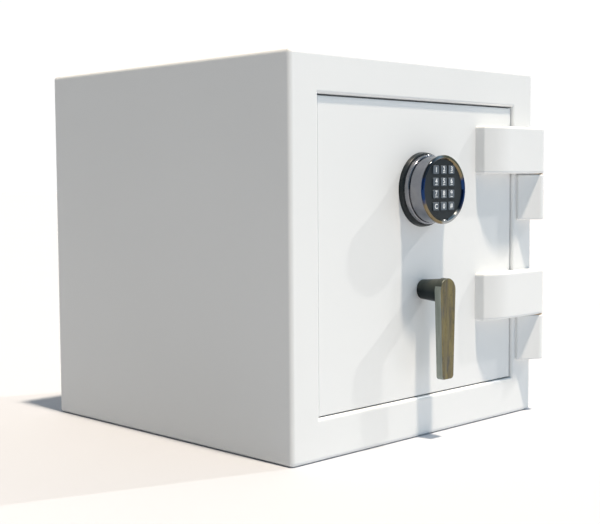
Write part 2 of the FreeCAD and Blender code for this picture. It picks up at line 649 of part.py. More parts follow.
def make_keypad_bezel():
    """Bright ring with a soft outer shoulder and a slope down to the face."""
    profile = [(HOUSING_FRONT, "bezel_bore"), (FACE_FRONT, "bezel_bore"),
               (BEZEL_FRONT, "bezel_bore + 2 * bezel_ease"), (BEZEL_FRONT, "bezel_radius - 2 * bezel_ease"),
               (f"{BEZEL_FRONT} + bezel_ease", "bezel_radius - bezel_ease / 2"),
               (f"{BEZEL_FRONT} + 2 * bezel_ease", "bezel_radius"),
               (f"{HOUSING_FRONT} - bezel_ease", "bezel_radius"),
               (HOUSING_FRONT, "bezel_radius - bezel_ease")]
    node(turned("keypad_bezel", "0", "pad_up", profile), "keypad_bezel")


def key_spot(row, column):
    """The middle of a key, across and up."""
    across = f"({column - 1} * key_pitch_across)"
    up = f"(pad_up + key_rows_up - {row} * key_pitch_up)"
    return across, up


def make_keypad_faceplate():
    step = f"{FACE_REAR} - face_step"
    profile = [(FACE_REAR, "0"), (FACE_FRONT, "0"), (FACE_FRONT, "face_radius"), (step, "face_radius"),
               (step, "face_radius + face_lip"), (FACE_REAR, "face_radius + face_lip")]
    disc = turned("face_disc", "0", "pad_up", profile)
    windows = []
    for row, names in enumerate(KEY_NAMES):
        for column, name in enumerate(names):
            across, up = key_spot(row, column)
            wide, tall = "(key_wide / 2 + key_window)", "(key_tall / 2 + key_window)"
            windows.append(block(f"window_{name}", (f"{across} - {wide}", f"{across} + {wide}"),
                                 (FACE_FRONT, FACE_REAR), (f"{up} - {tall}", f"{up} + {tall}")))
    node(cut("keypad_faceplate", disc, *windows), "keypad_faceplate")


def make_key(name, row, column):
    """A cap that stands out of its window, on a wider flange that keeps it in."""
    across, up = key_spot(row, column)
    body = new_body(name)
    cap_front = f"{FACE_FRONT} - key_proud"
    flange_rear = f"{FLANGE_FRONT} + key_flange_thick"

    def outline(grow):
        wide, tall = f"(key_wide / 2 + {grow})", f"(key_tall / 2 + {grow})"
        return rectangle((f"{across} - {wide}", f"{across} + {wide}"), (f"{up} - {tall}", f"{up} + {tall}"))
    pad_deep(body, cap_front, FLANGE_FRONT, (outline("0"),))
    front = number(cap_front)
    ease(body, "Fillet", "key_corner", lambda edge: abs(edge.BoundBox.YLength - edge.Length) < TINY)
    ease(body, "Fillet", "key_ease", lambda edge: lies_at(edge, "y", front))
    pad_deep(body, FLANGE_FRONT, flange_rear, (outline("key_flange"),))
    node(body, name)


def make_keypad_board():
    body = new_body("keypad_board")
    pad_deep(body, BOARD_FRONT, BOARD_REAR, (), (("0", "pad_up", "board_radius"),))
    node(body, "keypad_board")


def make_battery():
    low = "pad_up - cell_low"
    front = f"{BOARD_REAR} + cell_gap"
    cell = block("cell_box", ("-cell_half", "cell_half"), (front, f"{front} + cell_deep"),
                 (low, f"{low} + cell_tall"))
    node(rounded("battery", cell, "key_corner", lambda edge: edge.BoundBox.XLength > 1), "battery")


def make_keypad_cable():
    length = f"{PAN_REAR} + lock_wall + wire_radius - {BOARD_REAR}"
    node(rod("keypad_cable", "wire_radius", "y", ("0", BOARD_REAR, "pad_up"), length), "keypad_cable")


# ---------------------------------------------------------------- handle

def make_handle_lever():
    """A tapered lever on a hub that flares out from the door."""
    hub = turned("lever_hub", "0", "turn_up", [
        (HUB_REAR, "spindle_radius"), (HUB_REAR, "hub_radius"), (LEVER_REAR, "hub_radius + hub_flare"),
        (LEVER_REAR, "0"), (SOCKET_FRONT, "0"), (SOCKET_FRONT, "spindle_radius")])
    blade = new_body("lever_blade")
    shoulder, foot = "(turn_up + lever_crown)", "(turn_up - lever_foot)"
    corner = "lever_foot_round"
    outline = [("lever_half", shoulder, "lever_half"), ("0", f"{shoulder} + lever_half", "lever_half"),
               ("-lever_half", shoulder), ("-lever_foot_half", f"{foot} + {corner}", corner),
               (f"{corner} - lever_foot_half", foot), (f"lever_foot_half - {corner}", foot, corner),
               ("lever_foot_half", f"{foot} + {corner}")]
    pad_deep(blade, f"{LEVER_REAR} - lever_thick", LEVER_REAR, (outline,))
    front = number(f"{LEVER_REAR} - lever_thick")
    ease(blade, "Fillet", "lever_ease", lambda edge: lies_at(edge, "y", front))
    screw_way = rod("lever_screw_way", "set_screw_radius", "z",
                    ("0", f"{DOOR_FACE} - set_screw_out", "turn_up - hub_radius - hub_flare"),
                    "hub_radius + hub_flare - spindle_radius")
    node(cut("handle_lever", fuse("lever_whole", hub, blade), screw_way), "handle_lever")


def make_handle_set_screw():
    top = "turn_up - spindle_radius"
    node(rod("handle_set_screw", "set_screw_radius", "z",
             ("0", f"{DOOR_FACE} - set_screw_out", f"{top} - set_screw_long"), "set_screw_long"),
         "handle_set_screw")


def make_handle_spindle():
    node(rod("handle_spindle", "spindle_radius", "y", ("0", SOCKET_FRONT, "turn_up"),
             f"{DISC_REAR} + clip_thick - {SOCKET_FRONT}"), "handle_spindle")


def make_handle_bushing():
    body = new_body("handle_bushing")
    pad_deep(body, DOOR_FACE, FILL_REAR, (), (("0", "turn_up", "spindle_radius + bushing_wall"),
                                              ("0", "turn_up", "spindle_radius + running_fit")))
    node(body, "handle_bushing")


def make_cam_disc():
    """Disc on the spindle, with the crank pin that moves the bolts."""
    body = new_body("cam_plate")
    pad_deep(body, DISC_FRONT, DISC_REAR, (), (("0", "turn_up", "disc_radius"), ("0", "turn_up", "spindle_radius")))
    pin = rod("cam_pin", "crank_radius", "y", ("crank_reach", DISC_FRONT, "turn_up + crank_reach"),
              "disc_thick + crank_long")
    node(fuse("cam_disc", body, pin), "cam_disc")


def make_spindle_ring():
    body = new_body("spindle_ring")
    pad_deep(body, DISC_REAR, f"{DISC_REAR} + clip_thick", (),
             (("0", "turn_up", "clip_radius"), ("0", "turn_up", "spindle_radius")))
    node(body, "spindle_ring")


# ---------------------------------------------------------------- bolts and their carriage

def bolt_up(index):
    return f"(bolt_low + {index} * bolt_pitch)"


def make_locking_bolts():
    """Three round bars with a chamfered nose, screwed to the bolt bar."""
    bolts = []
    for index in range(BOLT_COUNT):
        body = new_body(f"locking_bolt_{index + 1}")
        up = bolt_up(index)
        profile = [("bolt_left", "0"), ("bar_left", "0"), ("bar_left", "bolt_radius"),
                   ("bolt_left + bolt_nose", "bolt_radius"), ("bolt_left", "bolt_radius - bolt_nose")]
        sketch = new_sketch(body, "XZ_Plane", ("0", up, f"-({BOLT_Y})"), (profile,))
        feature = add_feature(body, "Revolution", "turn", sketch)
        feature.ReferenceAxis = (sketch, ["H_Axis"])
        feature.Angle = 360
        hole = rod(f"bolt_thread_{index + 1}", "screw_radius", "x", ("bar_left - screw_deep", BOLT_Y, up),
                   "screw_deep")
        bolts.append(cut(f"bored_bolt_{index + 1}", body, hole))
    node(group("locking_bolts", *bolts), "locking_bolts")


def make_bolt_bar():
    """Upright bar that carries the three bolts."""
    bar = block("bar_stock", ("bar_left", "bar_left + bar_wide"), (BAR_FRONT, BAR_REAR), ("bar_low", "bar_high"))
    holes = [rod(f"bar_hole_{index + 1}", "screw_radius", "x", ("bar_left", BOLT_Y, bolt_up(index)), "bar_wide")
             for index in range(BOLT_COUNT)]
    node(cut("bolt_bar", bar, *holes), "bolt_bar")


def make_bolt_screws():
    screws = []
    for index in range(BOLT_COUNT):
        up = bolt_up(index)
        shank = rod(f"bolt_shank_{index + 1}", "screw_radius", "x", ("bar_left - screw_deep", BOLT_Y, up),
                    "screw_deep + bar_wide")
        head = rod(f"bolt_head_{index + 1}", "screw_head", "x", ("bar_left + bar_wide", BOLT_Y, up),
                   "screw_head_thick")
        screws.append(fuse(f"bolt_screw_{index + 1}", shank, head))
    node(group("bolt_screws", *screws), "bolt_screws")


def make_carriage_plate():
    """Plate on the bolt bar: a slot for the crank pin and a lug for the lock bolt."""
    body = new_body("carriage_plate")
    outline = [("bar_left", "plate_low"), ("plate_right", "plate_low"), ("plate_right", "plate_high"),
               ("lug_right", "plate_high"), ("lug_right", "lug_high"), ("lug_left", "lug_high"),
               ("lug_left", "plate_high"), ("bar_left", "plate_high")]
    slot = rectangle(("crank_reach - slot_half", "crank_reach + slot_half"), ("slot_low", "slot_high"))
    pad_deep(body, BAR_REAR, f"{BAR_REAR} + plate_thick", (outline, slot))
    node(body, "carriage_plate")


def make_bolt_guides():
    """A bored block on the door pan for each bolt."""
    guides = []
    for index in range(BOLT_COUNT):
        up = bolt_up(index)
        stock = block(f"guide_stock_{index + 1}", ("guide_left", "guide_left + guide_wide"),
                      (PAN_REAR, f"{BOLT_Y} + bolt_radius + guide_rear"), (f"{up} - guide_half", f"{up} + guide_half"))
        way = rod(f"guide_way_{index + 1}", "bolt_radius + running_fit", "x", ("guide_left", BOLT_Y, up),
                  "guide_wide")
        guides.append(cut(f"bolt_guide_{index + 1}", stock, way))
    node(group("bolt_guides", *guides), "bolt_guides")


def make_dead_bar():
    """Fixed bar that hooks behind the jamb on the hinge side."""
    body = new_body("dead_bar")
    tongue = f"{PAN_REAR} + dead_setback"
    rear = f"{PAN_REAR} + dead_deep"
    plan = [("dead_left", PAN_REAR), ("dead_step", PAN_REAR), ("dead_step", tongue), ("dead_right", tongue),
            ("dead_right", rear), ("dead_left", rear)]
    pad_up(body, "dead_low", "dead_high", (plan,))
    node(body, "dead_bar")


# ---------------------------------------------------------------- lock

def make_lock_case():
    """Shallow cast box with a way out for the lock bolt in its floor."""
    shell = block("lock_shell", ("-lock_half", "lock_half"), (PAN_REAR, LOCK_REAR), ("lock_low", "lock_high"))
    room = block("lock_room", ("lock_wall - lock_half", "lock_half - lock_wall"),
                 (f"{PAN_REAR} + lock_wall", LOCK_REAR), ("lock_low + lock_wall", "lock_high - lock_wall"))
    way = block("lock_way", ("latch_left - latch_slack", "latch_right + latch_slack"),
                (f"{PAN_REAR} + latch_front - latch_slack", f"{PAN_REAR} + latch_rear + latch_slack"),
                ("lock_low", "lock_low + lock_wall"))
    wire = rod("lock_wire_way", "wire_radius", "y", ("0", PAN_REAR, "pad_up"), "lock_wall")
    open_case = cut("lock_open", shell, room, way, wire)
    bosses = [rod(f"lock_boss_{name}", "lock_screw_inset - 1", "y", (across, PAN_REAR, up), "lock_deep")
              for name, across, up in lock_corners()]
    threads = [rod(f"lock_thread_{name}", "lock_screw_radius", "y", (across, PAN_REAR, up), "lock_deep")
               for name, across, up in lock_corners()]
    node(cut("lock_case", fuse("lock_bossed", open_case, *bosses), *threads), "lock_case")


def lock_corners():
    """Where the four lock screws are: a name, across and up."""
    inset = "lock_screw_inset"
    return [(f"{side}_{level}", f"{sign} * (lock_half - {inset})", up)
            for side, sign in (("left", -1), ("right", 1))
            for level, up in (("low", f"lock_low + {inset}"), ("high", f"lock_high - {inset}"))]


def make_lock_cover():
    body = new_body("lock_cover")
    holes = [(across, up, "lock_screw_radius") for _, across, up in lock_corners()]
    pad_deep(body, LOCK_REAR, f"{LOCK_REAR} + lock_lid",
             (rectangle(("-lock_half", "lock_half"), ("lock_low", "lock_high")),), holes)
    node(body, "lock_cover")


def make_lock_screws():
    screws = []
    for name, across, up in lock_corners():
        shank = rod(f"lock_shank_{name}", "lock_screw_radius", "y", (across, PAN_REAR, up), "lock_deep + lock_lid")
        head = rod(f"lock_head_{name}", "lock_screw_head", "y", (across, f"{LOCK_REAR} + lock_lid", up),
                   "lock_screw_head_thick")
        screws.append(fuse(f"lock_screw_{name}", shank, head))
    node(group("lock_screws", *screws), "lock_screws")


def make_lock_bolt():
    bolt = block("latch_block", ("latch_left", "latch_right"),
                 (f"{PAN_REAR} + latch_front", f"{PAN_REAR} + latch_rear"), ("latch_low", "latch_high"))
    low = number("latch_low")
    node(rounded("lock_bolt", bolt, "latch_ease", lambda edge: lies_at(edge, "z", low)), "lock_bolt")


# ---------------------------------------------------------------- boltwork cover

def cover_corners():
    """Where the four standoffs of the cover are: a name, across and up."""
    return [(f"{side}_{level}", across, up)
            for side, across in (("left", "cover_left + post_inset"), ("right", "cover_right - post_inset"))
            for level, up in (("low", "cover_low + post_inset"), ("high", "cover_high - post_inset"))]


def make_boltwork_cover():
    """Sheet box over the boltwork, with a hole for each bolt in its left wall."""
    tray = block("cover_tray", ("cover_left", "cover_right"), (PAN_REAR, COVER_REAR), ("cover_low", "cover_high"))
    room = block("cover_room", ("cover_left + cover_sheet", "cover_right - cover_sheet"),
                 (PAN_REAR, f"{COVER_REAR} - cover_sheet"), ("cover_low + cover_sheet", "cover_high - cover_sheet"))
    soft = rounded("cover_soft", tray, "cover_ease",
                   lambda edge: not lies_at(edge, "y", number(PAN_REAR)))
    ways = [rod(f"cover_way_{index + 1}", "bolt_radius + cover_clear", "x", ("cover_left", BOLT_Y, bolt_up(index)),
                "cover_sheet") for index in range(BOLT_COUNT)]
    holes = [rod(f"cover_hole_{name}", "cover_screw_radius", "y", (across, f"{COVER_REAR} - cover_sheet", up),
                 "cover_sheet") for name, across, up in cover_corners()]
    node(cut("boltwork_cover", soft, room, *ways, *holes), "boltwork_cover")


def make_cover_posts():
    posts = []
    for name, across, up in cover_corners():
        post = rod(f"post_stock_{name}", "post_radius", "y", (across, PAN_REAR, up), "cover_deep - cover_sheet")
        thread = rod(f"post_thread_{name}", "cover_screw_radius", "y",
                     (across, f"{COVER_REAR} - cover_sheet - cover_screw_deep", up), "cover_screw_deep")
        posts.append(cut(f"cover_post_{name}", post, thread))
    node(group("cover_posts", *posts), "cover_posts")


def make_cover_screws():
    screws = []
    for name, across, up in cover_corners():
        shank = rod(f"cover_shank_{name}", "cover_screw_radius", "y",
                    (across, f"{COVER_REAR} - cover_sheet - cover_screw_deep", up),
                    "cover_screw_deep + cover_sheet")
        head = rod(f"cover_head_{name}", "cover_screw_head", "y", (across, COVER_REAR, up),
                   "cover_screw_head_thick")
        screws.append(fuse(f"cover_screw_{name}", shank, head))
    node(group("cover_screws", *screws), "cover_screws")


# ---------------------------------------------------------------- all together

def make_body_of_safe():
    make_outer_shell()
    make_front_frame()
    make_jamb_ring()
    make_inner_liner()
    make_body_fill()
    make_anchor_sleeve()
    make_floor_mat()
    make_shelf()
    make_shelf_rails()


def make_hinges():
    for name in ("upper", "lower"):
        make_hinge_arm(f"{name}_hinge_arm", f"arm_{name}")
        make_hinge_block(f"{name}_hinge_block", f"arm_{name}")
    make_hinge_pins()
    make_hinge_washers()


def make_door():
    make_door_plate()
    make_door_seal()
    make_hard_plate()
    make_door_fill()
    make_door_pan()


def make_keypad():
    make_keypad_base()
    make_keypad_collar()
    make_keypad_housing()
    make_keypad_bezel()
    make_keypad_faceplate()
    make_keypad_board()
    make_battery()
    make_keypad_cable()
    for row, names in enumerate(KEY_NAMES):
        for column, name in enumerate(names):
            make_key(name, row, column)


def make_handle():
    make_handle_lever()
    make_handle_set_screw()
    make_handle_spindle()
    make_handle_bushing()
    make_cam_disc()
    make_spindle_ring()


def make_boltwork():
    make_locking_bolts()
    make_bolt_bar()
    make_bolt_screws()
    make_carriage_plate()
    make_bolt_guides()
    make_dead_bar()
    make_lock_case()
    make_lock_cover()
    make_lock_screws()
    make_lock_bolt()
    make_boltwork_cover()
    make_cover_posts()
    make_cover_screws()


def check_document():
    """Stop if anything failed quietly."""
    for thing in DOCUMENT.Objects:
        if "Invalid" in thing.State or "Error" in thing.State:
            raise RuntimeError(f"{thing.Name}: {thing.State}")
    for label, thing in NODES.items():
        if thing.Shape.isNull() or not thing.Shape.isValid() or not thing.Shape.Solids:
            raise RuntimeError(f"{label}: no valid solid")


def write_parts():
    os.makedirs("parts", exist_ok=True)
    for label, thing in NODES.items():
        thing.Shape.exportStep(f"parts/{label}.step")


fill_sheet()
make_body_of_safe()
make_hinges()
make_door()
make_keypad()
make_handle()
make_boltwork()
DOCUMENT.recompute()
check_document()
write_parts()
print(len(NODES), "pieces written")
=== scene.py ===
"""The looks of a plate-door safe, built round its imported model. Metres, in the model's own frame."""

import bmesh
import bpy
import json
import math
from mathutils import Matrix, Vector

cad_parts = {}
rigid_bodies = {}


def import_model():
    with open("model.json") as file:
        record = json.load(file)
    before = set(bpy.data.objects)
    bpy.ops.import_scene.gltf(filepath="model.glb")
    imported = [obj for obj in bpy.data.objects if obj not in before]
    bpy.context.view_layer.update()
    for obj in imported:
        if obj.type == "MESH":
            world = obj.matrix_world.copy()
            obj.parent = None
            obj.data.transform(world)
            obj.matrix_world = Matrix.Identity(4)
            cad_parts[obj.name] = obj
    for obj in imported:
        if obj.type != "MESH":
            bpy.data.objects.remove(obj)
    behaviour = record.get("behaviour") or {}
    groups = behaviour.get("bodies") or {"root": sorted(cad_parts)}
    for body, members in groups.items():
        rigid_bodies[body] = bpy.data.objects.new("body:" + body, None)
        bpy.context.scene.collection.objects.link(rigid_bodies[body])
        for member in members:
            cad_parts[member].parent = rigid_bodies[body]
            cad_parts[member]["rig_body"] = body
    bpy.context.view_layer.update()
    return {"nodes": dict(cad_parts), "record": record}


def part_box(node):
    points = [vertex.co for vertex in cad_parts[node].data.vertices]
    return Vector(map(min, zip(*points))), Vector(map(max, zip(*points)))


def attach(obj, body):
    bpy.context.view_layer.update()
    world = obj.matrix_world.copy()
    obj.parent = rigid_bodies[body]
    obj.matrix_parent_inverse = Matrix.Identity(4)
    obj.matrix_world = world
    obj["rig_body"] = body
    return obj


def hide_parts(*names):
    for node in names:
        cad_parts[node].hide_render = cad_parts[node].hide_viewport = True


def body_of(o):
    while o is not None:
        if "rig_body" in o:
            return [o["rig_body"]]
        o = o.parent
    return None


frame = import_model()
scene = bpy.context.scene
MM = 0.001

KEYS = ("1", "2", "3", "4", "5", "6", "7", "8", "9", "clear", "0", "hash")
KEY_MARKS = {"clear": "C", "hash": "#"}
KEYS_WITHOUT_BAR = ("1", "0", "clear", "hash")
LEGEND_SIZE = 9.2 * MM
LEGEND_THICKENING = 0.1 * MM
LEGEND_HALF_DEPTH = 0.05 * MM
LEGEND_LIFT = 1.3 * MM
LEGEND_PROUD = 0.03 * MM
BAR_SIZE = (4.6 * MM, 0.7 * MM, 0.1 * MM)
BAR_DROP = 3.6 * MM

BLADE_THICK = 9.9 * MM
CROWN_TALL = 10 * MM
RIB_PITCH = 6 * MM

RING_BORE = 42 * MM
BEZEL_BORE = 40.2 * MM
RING_SEGMENTS = 144
ARC_STEPS = 8
ARC_GUARD = 0.12 * MM
SHARP_ANGLE = math.radians(32)

CROSSED_SCREWS = ("cover_screws", "lock_screws", "bolt_screws")
CROSS_REACH = 0.3
CROSS_WIDTH = 0.2
CROSS_SUNK = 0.3 * MM
CROSS_PROUD = 0.04 * MM
WELD_DISTANCE = 0.002 * MM

FLOOR_REACH = 40.0
CAMERA_PLACE = (-1.2108, -1.2354, 0.3485)
CAMERA_HEADING = math.radians(44.735)
CAMERA_PITCH = math.radians(-4.014)
CAMERA_ROLL = math.radians(-0.386)
CAMERA_LENS = 68.634
CAMERA_SENSOR = 36.0

# Where a Mix node keeps its two colour inputs and its colour output.
MIX_FIRST, MIX_SECOND, MIX_RESULT = 6, 7, 2


def pad_middle():
    """The middle of the keypad's front, from the frame."""
    low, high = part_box("keypad_bezel")
    return Vector((0, low.y, (low.z + high.z) / 2))


# ---------------------------------------------------------------- materials

def scaled(colour, factor):
    return [channel * factor for channel in colour]


class Finish:
    """One procedural material. Patterns are laid in the piece's own coordinates, in metres."""

    def __init__(self, name, colour, roughness, metallic=0.0, **plain):
        self.name = name
        self.material = bpy.data.materials.new(name)
        self.material.use_nodes = True
        self.tree = self.material.node_tree
        self.shader = self.tree.nodes["Principled BSDF"]
        self.shader.inputs["Base Color"].default_value = (*colour, 1)
        self.shader.inputs["Roughness"].default_value = roughness
        self.shader.inputs["Metallic"].default_value = metallic
        for socket, value in plain.items():
            self.shader.inputs[socket.replace("_", " ")].default_value = value
        self.normal = None
        self.place = self.tree.nodes.new("ShaderNodeTexCoord").outputs["Object"]

    def add(self, kind, **inputs):
        """A new node, with values or other nodes' outputs at its named inputs."""
        made = self.tree.nodes.new("ShaderNode" + kind)
        for name, value in inputs.items():
            self.feed(made.inputs[name.replace("_", " ")], value)
        return made

    def feed(self, socket, value):
        if isinstance(value, bpy.types.NodeSocket):
            self.tree.links.new(value, socket)
        else:
            socket.default_value = value

    def noise(self, scale, detail=3.0, stretch=(1, 1, 1), distortion=0.0):
        """A cloudy pattern. A small number in stretch draws it out along that axis."""
        place = self.add("Mapping", Vector=self.place, Scale=stretch).outputs[0]
        return self.add("TexNoise", Vector=place, Scale=scale, Detail=detail,
                        Distortion=distortion).outputs["Fac"]

    def cells(self, scale):
        return self.add("TexVoronoi", Vector=self.place, Scale=scale).outputs["Distance"]

    def ranged(self, value, low, high, start=0.0, end=1.0):
        """A value carried from one range to another, and held at its ends."""
        return self.add("MapRange", Value=value, From_Min=low, From_Max=high, To_Min=start,
                        To_Max=end).outputs[0]

    def maths(self, operation, first, second):
        made = self.add("Math")
        made.operation = operation
        self.feed(made.inputs[0], first)
        self.feed(made.inputs[1], second)
        return made.outputs[0]

    def mixed(self, factor, first, second):
        made = self.add("Mix")
        made.data_type = "RGBA"
        self.feed(made.inputs["Factor"], factor)
        for spot, value in ((MIX_FIRST, first), (MIX_SECOND, second)):
            self.feed(made.inputs[spot], value if isinstance(value, bpy.types.NodeSocket) else (*value, 1))
        return made.outputs[MIX_RESULT]

    def part_of(self, socket_name, axis):
        """One axis of the place or of the normal, in the piece's own frame."""
        taken = self.add("SeparateXYZ", Vector=self.place.node.outputs[socket_name])
        return taken.outputs[axis]

    def banded(self, value, stops):
        """A ramp of colours along a value from 0 to 1."""
        made = self.add("ValToRGB", Fac=value)
        ramp = made.color_ramp
        for at, colour in stops[1:-1]:
            ramp.elements.new(at).color = (*colour, 1)
        ramp.elements[0].position, ramp.elements[0].color = stops[0][0], (*stops[0][1], 1)
        ramp.elements[-1].position, ramp.elements[-1].color = stops[-1][0], (*stops[-1][1], 1)
        return made.outputs["Color"]

    def paint(self, colour):
        self.tree.links.new(colour, self.shader.inputs["Base Color"])

    def blotch(self, pattern, low, high, first, second):
        """Base colour that goes from one colour to another as a pattern rises from low to high."""
        self.paint(self.mixed(self.ranged(pattern, low, high), first, second))

    def gloss(self, value, low, high, start=0.3, end=0.7):
        """Roughness from low to high as a pattern rises from start to end."""
        self.tree.links.new(self.ranged(value, start, end, low, high), self.shader.inputs["Roughness"])

    def bump(self, height, depth):
        """Relief, on top of any that the material already has."""
        made = self.add("Bump", Height=height, Distance=depth, Strength=1.0)
        if self.normal is not None:
            self.tree.links.new(self.normal, made.inputs["Normal"])
        self.normal = made.outputs[0]
        self.tree.links.new(self.normal, self.shader.inputs["Normal"])


def enamel(name, colour, low, high, peel, depth):
    """Sprayed paint: a slightly cloudy tone and gloss, and a fine orange peel."""
    made = Finish(name, colour, (low + high) / 2, IOR=1.5)
    made.blotch(made.noise(3.5, 1.5), 0.2, 0.8, scaled(colour, 0.985), scaled(colour, 1.015))
    made.gloss(made.noise(4.0, 1.5), low, high, 0.2, 0.8)
    made.bump(made.noise(peel, 2.0), depth)
    return made


def mottled_metal(name, colour, tint, low, high, grain=90.0):
    """Plated, blackened or cast metal: patches of two tones with a fine grain."""
    made = Finish(name, colour, (low + high) / 2, 1.0)
    made.blotch(made.noise(grain, 4.0, distortion=1.2), 0.35, 0.65, colour, tint)
    made.gloss(made.noise(grain * 2.3, 4.0), low, high)
    made.bump(made.noise(grain * 12, 3.0), 0.02 * MM)
    return made


def turned_metal(name, colour, low, high):
    """Bright metal with the fine lines that its last cut left, close together along x."""
    made = Finish(name, colour, (low + high) / 2, 1.0)
    lines = made.noise(2600.0, 3.0, (1.0, 0.03, 0.03))
    broad = made.noise(60.0, 3.0)
    made.blotch(broad, 0.3, 0.7, scaled(colour, 0.86), colour)
    made.gloss(broad, low, high)
    made.bump(lines, 0.015 * MM)
    return made


def moulded(name, colour, low, high, grain=1500.0, depth=0.02 * MM, specular=0.5):
    """Moulded plastic or rubber with a fine spark grain and faint handling marks."""
    made = Finish(name, colour, (low + high) / 2, IOR=1.5, Specular_IOR_Level=specular)
    smear = made.noise(38.0, 5.0, distortion=0.8)
    made.blotch(smear, 0.3, 0.7, scaled(colour, 0.82), scaled(colour, 1.18))
    made.gloss(smear, low, high)
    made.bump(made.noise(grain, 2.0), depth)
    return made


def make_concrete():
    """Cast fill: grey-brown clouds, rough, with small pits."""
    made = Finish("concrete", (0.36, 0.35, 0.33), 0.9)
    made.blotch(made.noise(55.0, 8.0), 0.3, 0.7, (0.27, 0.26, 0.24), (0.42, 0.41, 0.39))
    made.bump(made.noise(260.0, 6.0), 0.5 * MM)
    made.bump(made.cells(140.0), 0.4 * MM)
    return made


def make_aged_bronze():
    """Cast bronze, brushed up and down and rubbed: olive and brown streaks over purple-grey.

    The blade's sides are paler than its face. The hub behind it is dark, with painted light that brightens
    its faces as they turn upward, and the crown's faces that turn from the front carry the same tones as
    painted shade.
    """
    made = Finish("aged_bronze", (0.2, 0.15, 0.075), 0.4, 0.85)
    mottle = made.noise(420.0, 3.0, (1.0, 1.0, 0.4), 0.8)
    streak = made.noise(210.0, 4.0, (1.0, 1.0, 0.075), 0.5)
    broad = made.noise(95.0, 3.0, (1.0, 1.0, 0.16), 1.0)
    patch = made.noise(46.0, 4.0, (1.0, 1.0, 0.35), 1.4)
    base = made.mixed(made.ranged(broad, 0.36, 0.64), (0.112, 0.100, 0.075), (0.215, 0.178, 0.082))
    base = made.mixed(made.ranged(patch, 0.52, 0.68), base, (0.100, 0.098, 0.095))
    base = made.mixed(made.ranged(mottle, 0.52, 0.66, 0.0, 0.55), base, (0.075, 0.078, 0.055))
    face = made.mixed(made.ranged(streak, 0.42, 0.70, 0.0, 0.6), base, (0.30, 0.26, 0.125))
    side = made.mixed(made.ranged(streak, 0.35, 0.65), (0.235, 0.262, 0.235), (0.31, 0.338, 0.305))
    # Painted light: the hub's dark tone turns to a lighter olive grey as its faces turn upward.
    hub_with_painted_top_light = made.mixed(made.ranged(made.part_of("Normal", "Z"), -0.1, 0.75), (0.022, 0.029, 0.031),
                     (0.105, 0.112, 0.092))

    lever_low, lever_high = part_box("handle_lever")
    hub_front = lever_low.y + BLADE_THICK
    crown_foot = lever_high.z - CROWN_TALL
    turned_away = made.ranged(made.part_of("Normal", "Y"), -0.97, -0.80)
    behind = made.ranged(made.part_of("Object", "Y"), hub_front, hub_front + 0.3 * MM)
    above = made.ranged(made.part_of("Object", "Z"), crown_foot - 0.6 * MM, crown_foot)
    # Painted shade: the crown's faces that turn from the front take the hub's dark tones.
    crown_painted_shade = made.maths("MULTIPLY", above, turned_away)
    blade = made.mixed(turned_away, face, side)
    made.paint(made.mixed(made.maths("MAXIMUM", behind, crown_painted_shade), blade, hub_with_painted_top_light))
    made.gloss(broad, 0.34, 0.52)
    made.bump(streak, 0.05 * MM)
    made.bump(made.noise(900.0, 3.0), 0.02 * MM)
    return made


def make_chrome_with_painted_reflections():
    """Polished black chrome, with painted reflections: bronze, blue, grey and dark bands by the angle round
    the keypad's axis.
    """
    made = Finish("bright_chrome", (0.10, 0.10, 0.11), 0.1, 1.0)
    up = made.maths("SUBTRACT", made.part_of("Object", "Z"), pad_middle().z)
    angle = made.ranged(made.maths("ARCTAN2", up, made.part_of("Object", "X")), -math.pi, math.pi)
    turn = made.maths("ADD", angle, made.ranged(made.noise(60.0, 2.0), 0.3, 0.7, -0.015, 0.015))
    # Painted reflections: these bands stand for what the polished rings mirror, laid round the ring by angle.
    dark, bronze = (0.035, 0.038, 0.045), (0.20, 0.16, 0.095)
    blue, grey = (0.014, 0.040, 0.125), (0.33, 0.35, 0.36)
    made.paint(made.banded(turn, ((0.0, blue), (0.045, blue), (0.065, bronze), (0.22, bronze), (0.26, grey),
                                  (0.36, grey), (0.40, dark), (0.46, blue), (0.54, blue), (0.57, bronze),
                                  (0.74, bronze), (0.80, grey), (0.86, dark), (0.945, dark), (0.96, blue),
                                  (1.0, blue))))
    made.gloss(made.noise(90.0, 4.0), 0.06, 0.14)
    return made


def make_black_nickel():
    """Satin black nickel with fine marks drawn out round the rings."""
    made = Finish("black_nickel", (0.24, 0.23, 0.26), 0.24, 1.0)
    made.blotch(made.noise(42.0, 4.0, distortion=0.8), 0.35, 0.65, (0.220, 0.230, 0.262),
                (0.262, 0.268, 0.285))
    made.gloss(made.noise(120.0, 4.0), 0.16, 0.26)
    made.bump(made.noise(1900.0, 2.0, (0.05, 1.0, 0.05)), 0.01 * MM)
    return made


def make_ribbed_rubber():
    """Mat rubber with ribs from front to rear."""
    made = moulded("mat_rubber", (0.045, 0.047, 0.05), 0.55, 0.75, 700.0, 0.06 * MM)
    turns = made.maths("MULTIPLY", made.part_of("Object", "X"), 2 * math.pi / RIB_PITCH)
    made.bump(made.maths("SINE", turns, 0.0), 0.8 * MM)
    return made


def make_legend_ink():
    """White print of uneven gloss."""
    made = Finish("legend_ink", (0.80, 0.84, 0.86), 0.5)
    made.gloss(made.noise(900.0, 3.0), 0.42, 0.58)
    return made


